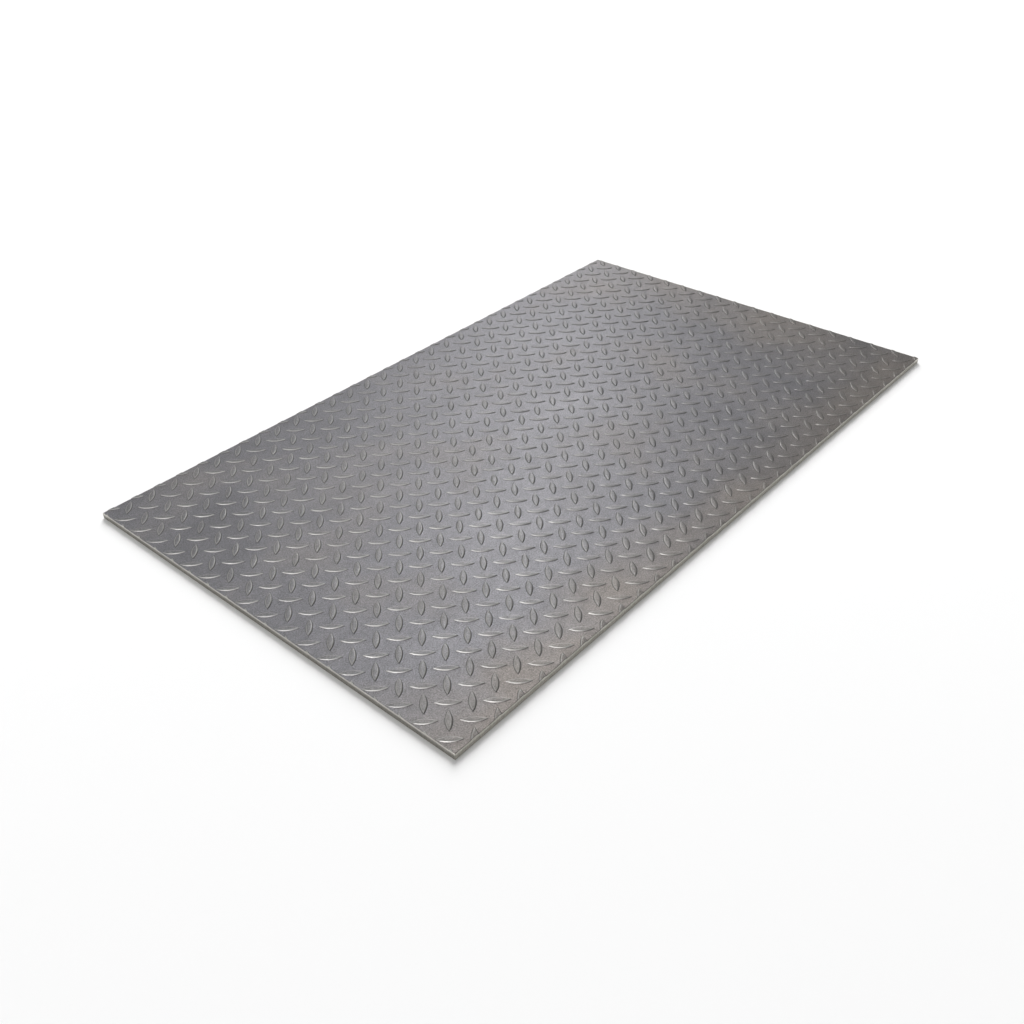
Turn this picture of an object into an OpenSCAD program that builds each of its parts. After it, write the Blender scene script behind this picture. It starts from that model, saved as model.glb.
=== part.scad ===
// Raised-pattern steel floor plate, one rectangular cut of hot-rolled stock, in millimetres.
// It lies flat: X runs along the length, Y across the width, Z up through the thickness.
// The origin is the middle of the underside. The raised lugs are fine relief, up to 1.3 mm
// proud of the top face, and are not part of this solid: the top face here is the base metal.

/* [Plate] */
// Long side of the cut plate
plate_length = 1000; // [300:50:3000]
// Short side of the cut plate
plate_width = 600; // [200:50:1500]
// Thickness of the base metal, without the lugs
plate_thickness = 8; // [3:0.5:12]

/* [Sheared edges] */
// Radius drawn down on the upper edge, where the blade entered
upper_edge_radius = 0.8; // [0.2:0.1:1.4]
// Radius left on the lower edge once its burr is dressed off
lower_edge_radius = 0.4; // [0.2:0.1:1]

/* [Hidden] */
steel = [0.56, 0.55, 0.54];
// How far a cutter reaches past the metal, so that no two faces coincide
overrun = 1;
$fn = 64;

// What is taken off a square corner at the origin to leave a radius r. The metal lies
// towards +X and +Y.
module corner_waste(r) {
    difference() {
        translate([-overrun, -overrun])
            square([r + overrun, r + overrun]);
        translate([r, r])
            circle(r = r);
    }
}

// The plate's section across a span, standing on Y = 0 and centred on X = 0.
module section(span) {
    difference() {
        translate([-span / 2, 0])
            square([span, plate_thickness]);
        for (side = [-1, 1])
            scale([side, 1]) {
                translate([-span / 2, 0])
                    corner_waste(lower_edge_radius);
                translate([-span / 2, plate_thickness])
                    mirror([0, 1])
                        corner_waste(upper_edge_radius);
            }
    }
}

// One solid: the two sections, run along each other's direction, keep what they share, so
// the edge radii meet in a mitre at the four square corners.
module checker_plate() {
    color(steel)
        intersection() {
            rotate([90, 0, 0])
                linear_extrude(height = plate_width + 2 * overrun, center = true)
                    section(plate_length);
            rotate([90, 0, 90])
                linear_extrude(height = plate_length + 2 * overrun, center = true)
                    section(plate_width);
        }
}

checker_plate();
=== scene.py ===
import bpy, bmesh, math
from mathutils import Matrix, Vector


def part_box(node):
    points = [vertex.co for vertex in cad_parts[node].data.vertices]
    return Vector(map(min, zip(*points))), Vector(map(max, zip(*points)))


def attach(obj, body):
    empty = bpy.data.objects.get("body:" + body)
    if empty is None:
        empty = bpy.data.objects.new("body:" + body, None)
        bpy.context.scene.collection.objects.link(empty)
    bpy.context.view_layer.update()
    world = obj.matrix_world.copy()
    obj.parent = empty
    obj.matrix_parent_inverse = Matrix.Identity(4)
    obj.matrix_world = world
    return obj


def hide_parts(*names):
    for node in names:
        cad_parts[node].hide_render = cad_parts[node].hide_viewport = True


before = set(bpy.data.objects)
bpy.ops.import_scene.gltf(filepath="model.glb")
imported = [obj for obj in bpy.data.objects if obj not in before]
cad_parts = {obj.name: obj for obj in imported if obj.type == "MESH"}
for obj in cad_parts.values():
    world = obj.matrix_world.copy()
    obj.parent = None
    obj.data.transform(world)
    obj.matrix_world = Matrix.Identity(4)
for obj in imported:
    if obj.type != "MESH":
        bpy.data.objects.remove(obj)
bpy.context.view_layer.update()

# ---------------------------------------------------------------------------------------------
# The lug: one of the raised lens-shaped marks that the top roll presses into the hot plate.
# It is the plate's own metal, with a small fillet at its foot, steep flanks, a rounded shoulder
# and a nearly flat top.

# each ring of the lug, from its foot up: (length, width, height)
lug_rings = [(0.0290, 0.0088, 0.0), (0.0282, 0.0082, 0.00015), (0.0257, 0.0065, 0.00098),
             (0.0244, 0.0056, 0.00119), (0.0175, 0.0028, 0.00130)]
lug_flank_segments = 6


def edges_at(verts):
    """Every edge that meets those corners, once each, always in the same order."""
    return list(dict.fromkeys(edge for vert in verts for edge in vert.link_edges))


def lens_outline(bm, length, width, height):
    """A closed loop of two equal arcs that meet in points on the X axis, at that height."""
    half, bulge = length / 2, width / 2
    radius = (half ** 2 + bulge ** 2) / (2 * bulge)
    sweep = 2 * math.asin(half / radius)
    before = set(bm.verts)
    tip = bm.verts.new((-half, 0, height))
    bmesh.ops.spin(bm, geom=[tip], cent=(0, bulge - radius, 0), axis=(0, 0, 1), angle=-sweep,
                   steps=lug_flank_segments)
    arc = [vert for vert in bm.verts if vert not in before]
    bmesh.ops.mirror(bm, geom=arc + edges_at(arc), axis="Y", merge_dist=1e-6)
    return edges_at([vert for vert in bm.verts if vert not in before])


# ---------------------------------------------------------------------------------------------
# The roll's pattern: lugs of both slants, each between four of the other slant, at 45 degrees to
# the plate's edges. A tile is one lug with the flat metal around it, and the tiles fit together
# into one skin with no seams.
spacing_along, spacing_across = 0.0333, 0.0344
tile_side = math.sqrt(spacing_along * spacing_across / 2)
tile_reach = 0.0053      # how far a tile's edge bows out past the lug's tips and in beside its flanks
first_lug_along, first_lug_across = 0.0103, 0.0163       # from the plate's corner to its first lug
seam_gap = 1e-5          # neighbouring tiles' corners closer than this are joined into one


def lug_tile():
    """A lug along X on its tile, which has a corner between each pair of neighbours."""
    bm = bmesh.new()
    rings = [lens_outline(bm, *ring) for ring in lug_rings]
    corners = bmesh.ops.create_circle(bm, segments=8, radius=tile_side / math.sqrt(2))["verts"]
    for vert in corners:
        if abs(vert.co.y) < 1e-6:
            vert.co.x = math.copysign(tile_side / 2 + tile_reach, vert.co.x)
        elif abs(vert.co.x) < 1e-6:
            vert.co.y = math.copysign(tile_side / 2 - tile_reach, vert.co.y)
    rings.insert(0, edges_at(corners))
    for outer, inner in zip(rings, rings[1:]):
        bmesh.ops.bridge_loops(bm, edges=outer + inner)
    bmesh.ops.contextual_create(bm, geom=rings[-1])
    bmesh.ops.recalc_face_normals(bm, faces=bm.faces)
    return bm


low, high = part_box("checker_plate")
tiles_along = math.ceil((high.x - low.x) / spacing_along) + 2
tiles_across = math.ceil((high.y - low.y) / spacing_across) + 2
pattern_start = Vector((low.x + first_lug_along - spacing_along,
                        low.y + first_lug_across - spacing_across, high.z))
plate = bmesh.new()
mean_spacing = tile_side * math.sqrt(2)
roll_stretch = Matrix.Diagonal((spacing_along / mean_spacing, spacing_across / mean_spacing, 1, 1))
for slant, step in ((-45, 0.0), (45, 0.5)):
    tile = lug_tile()
    turn = roll_stretch @ Matrix.Rotation(math.radians(slant), 4, "Z")
    bmesh.ops.transform(tile, matrix=turn, verts=tile.verts)
    shift = Vector((step * spacing_along, step * spacing_across, 0))
    bmesh.ops.translate(tile, vec=pattern_start + shift, verts=tile.verts)
    one_tile = bpy.data.meshes.new("tile")
    tile.to_mesh(one_tile)
    tile.free()
    plate.from_mesh(one_tile)
    bpy.data.meshes.remove(one_tile)
for count, step in ((tiles_along, (spacing_along, 0, 0)), (tiles_across, (0, spacing_across, 0))):
    bmesh.ops.spin(plate, geom=plate.verts[:] + plate.edges[:] + plate.faces[:], angle=0,
                   axis=(0, 0, 1), dvec=step, steps=count - 1, use_duplicate=True)
bmesh.ops.remove_doubles(plate, verts=plate.verts, dist=seam_gap)

# ---------------------------------------------------------------------------------------------
# The cut blank: the plate is sheared out of a long strip, straight through the lugs. The blade
# draws the top edge down into a small radius, and the lower edge is dressed to a smaller one.
upper_radius = 0.0008
lower_radius = 0.0004
radius_steps = 3
pressed_width = 0.007    # the shear's clamp presses the lugs flatter along the cut
pressed_height = 0.50    # the share of a lug's height that is left at the edge
on_the_cut = 2e-5        # metal this close to a cut counts as lying on it
crease = math.radians(50)        # a sharper turn than this between two faces stays a hard edge
half = Vector(((high.x - low.x) / 2, (high.y - low.y) / 2))
quarter = [math.pi / 2 * step / radius_steps for step in range(radius_steps + 1)]

for angle in quarter:
    inset = upper_radius * (1 - math.sin(angle))
    for outward, reach in ((Vector((1, 0, 0)), half.x), (Vector((0, 1, 0)), half.y)):
        for side in (-1, 1):
            bmesh.ops.bisect_plane(plate, geom=plate.verts[:] + plate.edges[:] + plate.faces[:],
                                   dist=on_the_cut, plane_co=outward * side * (reach - inset),
                                   plane_no=outward * side, clear_outer=angle == quarter[-1])
for vert in plate.verts:
    inset = min(half.x - abs(vert.co.x), half.y - abs(vert.co.y))
    kept = pressed_height + (1 - pressed_height) * min(inset / pressed_width, 1)
    vert.co.z = high.z + (vert.co.z - high.z) * kept
    if inset < upper_radius:
        vert.co.z -= upper_radius - math.sqrt(max(upper_radius ** 2 - (upper_radius - inset) ** 2, 0))


def add_object(name, data):
    """A new object in the scene, at the origin."""
    made = bpy.data.objects.new(name, data)
    bpy.context.scene.collection.objects.link(made)
    return made


def extend_rim(inset, height):
    """Carries the open rim on to a rectangle that far inside the plate's outline."""
    rim = [edge for edge in plate.edges if edge.is_boundary]
    new = bmesh.ops.extrude_edge_only(plate, edges=rim)["geom"]
    verts = [item for item in new if isinstance(item, bmesh.types.BMVert)]
    here = max(abs(vert.co.x) for vert in verts), max(abs(vert.co.y) for vert in verts)
    bmesh.ops.scale(plate, verts=verts, vec=((half.x - inset) / here[0], (half.y - inset) / here[1], 1))
    for vert in verts:
        vert.co.z = height
    return [item for item in new if isinstance(item, bmesh.types.BMFace)]


sheared_faces = extend_rim(0, low.z + lower_radius)
for angle in quarter[1:]:
    extend_rim(lower_radius * (1 - math.cos(angle)), low.z + lower_radius * (1 - math.sin(angle)))
bmesh.ops.contextual_create(plate, geom=[edge for edge in plate.edges if edge.is_boundary])
bmesh.ops.recalc_face_normals(plate, faces=plate.faces)
for face in plate.faces:
    face.smooth = True
    face.material_index = 0
for face in sheared_faces:
    face.material_index = 1
for edge in plate.edges:
    edge.smooth = edge.calc_face_angle(0) < crease

mesh = bpy.data.meshes.new("floor_plate")
plate.to_mesh(mesh)
plate.free()
floor_plate = add_object("floor_plate", mesh)
weighted = floor_plate.modifiers.new("weighted", "WEIGHTED_NORMAL")
weighted.keep_sharp = True

# ---------------------------------------------------------------------------------------------
# The mill scale: the thin oxide skin that grows on the hot plate as it leaves the rolls. It is
# blue-grey over the middle and browner towards one end and one side, partly as heat tint where
# the plate cooled first and partly as painted reflection. The lugs' rims and the ends are lighter,
# partly rubbed bright by handling and partly painted highlight, and the lugs' feet are darker with
# painted shade.


def add_node(tree, kind, inputs=None, **settings):
    """Adds a node, sets its options, and gives each input a value or another node's output."""
    made = tree.nodes.new("ShaderNode" + kind)
    for name, value in settings.items():
        setattr(made, name, value)
    for key, value in (inputs or {}).items():
        if isinstance(value, bpy.types.NodeSocket):
            tree.links.new(value, made.inputs[key])
        else:
            made.inputs[key].default_value = value
    return made


def maths(tree, operation, *values, clamp=False):
    """The result of one sum on numbers or sockets."""
    return add_node(tree, "Math", dict(enumerate(values)), operation=operation, use_clamp=clamp).outputs[0]


def fade(tree, value, start, end, to_start=0.0, to_end=1.0):
    """Turns a value smoothly from one level at start to another at end."""
    inputs = {"Value": value, "From Min": start, "From Max": end, "To Min": to_start, "To Max": to_end}
    return add_node(tree, "MapRange", inputs, interpolation_type="SMOOTHSTEP").outputs["Result"]


def tint(tree, mask, under, over, blend_type="MIX"):
    """Lays one colour over another by a mask."""
    inputs = {"Factor": mask, 6: under, 7: over}
    return add_node(tree, "Mix", inputs, data_type="RGBA", blend_type=blend_type).outputs[2]


def shaded(tree, colour, shade):
    """A colour made darker or lighter by a number round 1."""
    grey = add_node(tree, "CombineColor", {0: shade, 1: shade, 2: shade}).outputs[0]
    return tint(tree, 1.0, colour, grey, "MULTIPLY")


def noise(tree, point, size, detail=2.0, roughness=0.5, stretch=(1, 1, 1), distortion=0.0):
    """A cloudy 0 to 1 pattern with lumps of that size in metres, longer where stretch is more."""
    scale = [1 / (size * part) for part in stretch]
    place = add_node(tree, "Mapping", {"Vector": point, "Scale": scale})
    inputs = {"Vector": place.outputs[0], "Scale": 1.0, "Detail": detail, "Roughness": roughness,
              "Distortion": distortion}
    return add_node(tree, "TexNoise", inputs).outputs["Fac"]


def new_finish(name):
    """A node material: itself, its nodes, its shader, and the piece's own coordinates."""
    made = bpy.data.materials.new(name)
    made.use_nodes = True
    tree = made.node_tree
    point = add_node(tree, "TexCoord").outputs["Object"]
    axes = add_node(tree, "SeparateXYZ", {0: point}).outputs
    return made, tree, tree.nodes["Principled BSDF"], point, axes


def new_group(name, inputs, outputs):
    """An empty node group with those named sockets, and its own input and output nodes."""
    group = bpy.data.node_groups.new(name, "ShaderNodeTree")
    for label, kind in inputs:
        group.interface.new_socket(label, in_out="INPUT", socket_type="NodeSocket" + kind)
    for label, kind in outputs:
        group.interface.new_socket(label, in_out="OUTPUT", socket_type="NodeSocket" + kind)
    given = group.nodes.new("NodeGroupInput").outputs
    result = group.nodes.new("NodeGroupOutput").inputs
    return group, given, result


def use_group(tree, group, inputs):
    """Places a shared effect in a material with its own values."""
    return add_node(tree, "Group", inputs, node_tree=group).outputs


# the grain of the steel's skin: fine pits and pimples for relief, and a mottle for its colour
steel_grain, given, result = new_group(
    "steel_grain", [("Point", "Vector"), ("Contrast", "Float")],
    [("Height", "Float"), ("Shade", "Float")])
pits = noise(steel_grain, given["Point"], size=0.0016, detail=3.0, roughness=0.65)
dapple = noise(steel_grain, given["Point"], size=0.006, detail=4.0, roughness=0.62)
steel_grain.links.new(maths(steel_grain, "MULTIPLY_ADD", dapple, 1.6, pits), result["Height"])
dapple_share = 0.25
both = maths(steel_grain, "MULTIPLY_ADD", dapple, dapple_share, pits)
centred = maths(steel_grain, "SUBTRACT", both, (1 + dapple_share) / 2)
steel_grain.links.new(maths(steel_grain, "MULTIPLY_ADD", centred, given["Contrast"], 1.0), result["Shade"])

scale_blue = (0.246, 0.243, 0.258, 1)
brown_tint = (0.280, 0.257, 0.242, 1)
foot_shade_colour = (0.120, 0.115, 0.112, 1)
side_shade_colour = (0.170, 0.152, 0.134, 1)
lug_crown = (0.266, 0.260, 0.248, 1)
rubbed_and_lit_rim = (0.440, 0.434, 0.416, 1)
bare_steel_and_highlight = (0.700, 0.683, 0.634, 1)
foot_shade_share, lug_crown_share, side_shade_share = 0.75, 0.3, 0.7     # how fully each shows
side_shade_width = 0.0009        # the painted shade: a brown line along each long side's top edge
end_bright_width = 0.0009          # the bright line along each end
side_bright_width = 0.0002         # and the finer one along each side
bright_patchiness = 1.4            # how patchy those bright lines are

rolled, tree, shader, point, axes = new_finish("rolled_steel")
clouds = noise(tree, point, size=0.16, detail=5.0, roughness=0.6, distortion=0.4)
streaks = noise(tree, point, size=0.02, detail=3.0, roughness=0.5, stretch=(14, 1, 1))
grain = use_group(tree, steel_grain, {"Point": point, "Contrast": 1.7})

# browner towards the +X end and the -Y side, broken up by the clouds: partly heat tint where the
# plate cooled first, partly painted reflection
brown_end = fade(tree, axes["X"], half.x - 0.20, half.x + 0.02, 0.0, 0.65)
brown_side = fade(tree, axes["Y"], 0.12 - half.y, -0.01 - half.y)
brown_mix = maths(tree, "MAXIMUM", brown_end, brown_side)
brown_mix = maths(tree, "MULTIPLY_ADD", maths(tree, "SUBTRACT", clouds, 0.5), 2.2, brown_mix, clamp=True)
colour = tint(tree, brown_mix, scale_blue, brown_tint)
cloud_shade = fade(tree, clouds, 0.25, 0.75, 0.90, 1.10)
streak_shade = fade(tree, streaks, 0.25, 0.75, 0.96, 1.04)
shade = maths(tree, "MULTIPLY", maths(tree, "MULTIPLY", cloud_shade, streak_shade), grain["Shade"])
colour = shaded(tree, colour, shade)

# how high the metal stands, as it was before the clamp pressed the lugs near the outline
lug_top = lug_rings[-1][2]
from_end = maths(tree, "SUBTRACT", half.x, maths(tree, "ABSOLUTE", axes["X"]))
from_side = maths(tree, "SUBTRACT", half.y, maths(tree, "ABSOLUTE", axes["Y"]))
inset = maths(tree, "DIVIDE", maths(tree, "MINIMUM", from_end, from_side), pressed_width, clamp=True)
kept = maths(tree, "MULTIPLY_ADD", inset, 1 - pressed_height, pressed_height)
raised = maths(tree, "DIVIDE", maths(tree, "SUBTRACT", axes["Z"], high.z), kept)
on_flank = fade(tree, raised, 0.25 * lug_top, 0.65 * lug_top)
on_crown = fade(tree, raised, 0.90 * lug_top, 0.97 * lug_top)
# the lugs' rims are lighter: partly rubbed bright by handling, partly painted highlight, strongest towards
# the -X end
handled = noise(tree, point, size=0.03, detail=4.0, roughness=0.6)
rubbed_patches = fade(tree, handled, 0.3, 0.7, 0.6, 1.0)
rubbed_and_lit_end = fade(tree, axes["X"], 0.3 * half.x, -0.7 * half.x, 0.45, 1.0)
rubbed_and_lit = maths(tree, "MULTIPLY", maths(tree, "SUBTRACT", on_flank, on_crown), rubbed_patches)
rubbed_and_lit = maths(tree, "MULTIPLY", rubbed_and_lit, rubbed_and_lit_end)
# painted shade: the lugs' feet are darker
at_foot = maths(tree, "SUBTRACT", fade(tree, raised, 0.02 * lug_top, 0.12 * lug_top), on_flank, clamp=True)
colour = tint(tree, maths(tree, "MULTIPLY", at_foot, foot_shade_share), colour, foot_shade_colour)
colour = tint(tree, maths(tree, "MULTIPLY", on_crown, lug_crown_share), colour, lug_crown)
colour = tint(tree, rubbed_and_lit, colour, rubbed_and_lit_rim)

# the outer edges: painted shade as a brown line along the sides' top edges, and lighter lines in patches
# along the ends and sides, partly bare steel rubbed bright and partly painted highlight
side_edge = fade(tree, from_side, side_shade_width, side_shade_width - 0.0005, 0.0, side_shade_share)
colour = tint(tree, side_edge, colour, side_shade_colour)
inward = maths(tree, "MINIMUM", maths(tree, "DIVIDE", from_end, end_bright_width),
               maths(tree, "DIVIDE", from_side, side_bright_width))
near_edge = maths(tree, "SUBTRACT", 1.0, inward, clamp=True)
patches = noise(tree, point, size=0.012, detail=5.0, roughness=0.65)
patchy = maths(tree, "MULTIPLY_ADD", patches, bright_patchiness, 1 - bright_patchiness / 2)
worn_and_lit_edge = maths(tree, "MULTIPLY", near_edge, patchy, clamp=True)
colour = tint(tree, worn_and_lit_edge, colour, bare_steel_and_highlight)
tree.links.new(colour, shader.inputs["Base Color"])

roughness = fade(tree, clouds, 0.25, 0.75, 0.40, 0.50)
roughness = maths(tree, "MULTIPLY_ADD", maths(tree, "SUBTRACT", grain["Shade"], 1.0), -0.25, roughness)
roughness = maths(tree, "MULTIPLY_ADD", rubbed_and_lit, -0.03, roughness)
roughness = maths(tree, "MULTIPLY_ADD", worn_and_lit_edge, -0.10, roughness, clamp=True)
tree.links.new(roughness, shader.inputs["Roughness"])
shader.inputs["Metallic"].default_value = 0.9

# the plate's slight waves, and the grain, as relief
waves = noise(tree, point, size=0.11, detail=1.0)
height = maths(tree, "MULTIPLY_ADD", waves, 12.0, grain["Height"])
bump = add_node(tree, "Bump", {"Height": height, "Distance": 0.00003, "Strength": 1.0})
tree.links.new(bump.outputs[0], shader.inputs["Normal"])

# ---------------------------------------------------------------------------------------------
# The sheared edges: bare steel that the blade cut and then tore through. The upper part is
# burnished with fine upright drag marks, and the lower part is a dull, grainy fracture.
burnished = (0.500, 0.482, 0.435, 1)
fractured = (0.400, 0.385, 0.345, 1)
end_shade = 0.66         # painted shade: the ends' sheared faces are darker than the long sides'
burnished_share = 0.36   # how much of the thickness the blade cut before the rest tore

sheared, tree, shader, point, axes = new_finish("sheared_steel")
grain = use_group(tree, steel_grain, {"Point": point, "Contrast": 0.9})
drag_marks = noise(tree, point, size=0.0012, detail=3.0, roughness=0.6, stretch=(1, 1, 12))
wander = fade(tree, noise(tree, point, size=0.02, detail=3.0), 0.25, 0.75, -0.0010, 0.0010)
cut_line = high.z - burnished_share * (high.z - low.z)
above = maths(tree, "SUBTRACT", maths(tree, "ADD", axes["Z"], wander), cut_line)
cut = fade(tree, above, -0.0004, 0.0004)
colour = tint(tree, cut, fractured, burnished)
drag_shade = fade(tree, drag_marks, 0.25, 0.75, 0.86, 1.14)
shade = maths(tree, "MULTIPLY", drag_shade, grain["Shade"])
at_end = fade(tree, maths(tree, "ABSOLUTE", axes["X"]), half.x - 0.0010, half.x - 0.0005)
shade = maths(tree, "MULTIPLY", shade, maths(tree, "MULTIPLY_ADD", at_end, end_shade - 1, 1.0))
colour = shaded(tree, colour, shade)

# the bright line under each end's top edge: partly steel which the blade drew down, partly painted
# highlight
drawn_and_lit_line = fade(tree, axes["Z"], high.z - 0.0018, high.z - 0.0010, 0.0, 0.6)
colour = tint(tree, maths(tree, "MULTIPLY", at_end, drawn_and_lit_line), colour, bare_steel_and_highlight)
tree.links.new(colour, shader.inputs["Base Color"])

roughness = fade(tree, cut, 0.0, 1.0, 0.62, 0.40)
roughness = maths(tree, "MULTIPLY_ADD", maths(tree, "SUBTRACT", drag_marks, 0.5), 0.2, roughness)
tree.links.new(roughness, shader.inputs["Roughness"])
shader.inputs["Metallic"].default_value = 0.8

height = maths(tree, "MULTIPLY_ADD", drag_marks, 0.8, grain["Height"])
bump = add_node(tree, "Bump", {"Height": height, "Distance": 0.00004, "Strength": 1.0})
tree.links.new(bump.outputs[0], shader.inputs["Normal"])

mesh.materials.append(rolled)
mesh.materials.append(sheared)

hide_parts("checker_plate")
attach(floor_plate, "root")

# ---------------------------------------------------------------------------------------------
# The studio: a pale paper floor under a white backdrop. A leaning strip light stands behind the
# plate, two soft lights on its left, and a wide light whitens the floor. A dark flag on the right
# deepens the shade on the lugs' right flanks. Left and right are as the camera sees them.
floor_reach = 14         # from the middle of the floor to each of its sides
bm = bmesh.new()
bmesh.ops.create_grid(bm, x_segments=1, y_segments=1, size=floor_reach)
floor_mesh = bpy.data.meshes.new("studio_floor")
bm.to_mesh(floor_mesh)
bm.free()
studio_floor = add_object("studio_floor", floor_mesh)
paper = bpy.data.materials.new("studio_paper")
paper.use_nodes = True
shader = paper.node_tree.nodes["Principled BSDF"]
shader.inputs["Base Color"].default_value = (0.88, 0.88, 0.88, 1)
shader.inputs["Roughness"].default_value = 1.0
shader.inputs["Specular IOR Level"].default_value = 0.0
floor_mesh.materials.append(paper)


def soft_light(name, azimuth, elevation, distance, size, power, lean=0.0):
    """A soft box that faces the plate from that azimuth from +X, its top leaning to its left."""
    lamp = bpy.data.lights.new(name, "AREA")
    lamp.shape = "RECTANGLE"
    lamp.size, lamp.size_y = size
    lamp.energy = power
    holder = add_object(name, lamp)
    turn = math.radians(azimuth)
    tilt = math.radians(elevation)
    place = Vector((math.cos(turn) * math.cos(tilt), math.sin(turn) * math.cos(tilt), math.sin(tilt)))
    holder.location = place * distance
    roll = Matrix.Rotation(-math.radians(lean), 3, "Z")
    holder.rotation_euler = (place.to_track_quat("Z", "Y").to_matrix() @ roll).to_euler()
    return holder


soft_light("back_strip", azimuth=43.2, elevation=39, distance=6.0, size=(0.9, 3.6), power=45, lean=24)
left_fill = soft_light("left_fill", azimuth=198, elevation=44, distance=5.0, size=(4.2, 1.8), power=145)
left_fill.visible_diffuse = False      # a highlight for the lugs, which leaves the floor alone
soft_light("left_rim", azimuth=110, elevation=24, distance=5.0, size=(2.0, 1.6), power=14)
floor_wash = soft_light("floor_wash", azimuth=43, elevation=37, distance=14.0, size=(7.2, 12.5), power=2450)
floor_wash.visible_glossy = False      # lights the floor behind the plate, but not the steel's gloss

# the air around: nearly white where it is seen, dimmer where it lights the plate, and dimmest
# towards the dark flag
backdrop_white = 0.96
air_light = 0.46
flag_light = 0.20
flag_azimuth = math.radians(-8)
flag_edge, flag_middle = 0.55, 0.92      # where it starts and is darkest, as cosines of the angle to it

world = bpy.data.worlds.new("studio_air")
world.use_nodes = True
tree = world.node_tree
backdrop = tree.nodes["Background"]
backdrop.inputs["Color"].default_value = (1, 1, 1, 1)
outward = add_node(tree, "TexCoord").outputs["Object"]
to_flag = (math.cos(flag_azimuth), math.sin(flag_azimuth), 0)
facing = add_node(tree, "VectorMath", {0: outward, 1: to_flag}, operation="DOT_PRODUCT").outputs["Value"]
ambient = fade(tree, facing, flag_edge, flag_middle, air_light, flag_light)
seen = add_node(tree, "LightPath").outputs["Is Camera Ray"]
brightness = fade(tree, seen, 0, 1, ambient, backdrop_white)
tree.links.new(brightness, backdrop.inputs["Strength"])
bpy.context.scene.world = world
bpy.context.scene.view_settings.view_transform = "Standard"

# The camera looks down on the plate over its near corner.
camera = bpy.data.cameras.new("camera")
camera.lens = 37.57
camera.sensor_width = 36
camera.clip_start = 0.05
viewer = add_object("camera", camera)
right = Vector((0.65837, -0.75235, -0.02287)).normalized()
back = Vector((-0.60012, -0.54301, 0.58736)).normalized()
up = back.cross(right).normalized()
right = up.cross(back)
viewer.matrix_world = Matrix((right, up, back)).transposed().to_4x4()
viewer.location = (-0.9576, -0.7943, 0.763 + high.z)
bpy.context.scene.camera = viewer
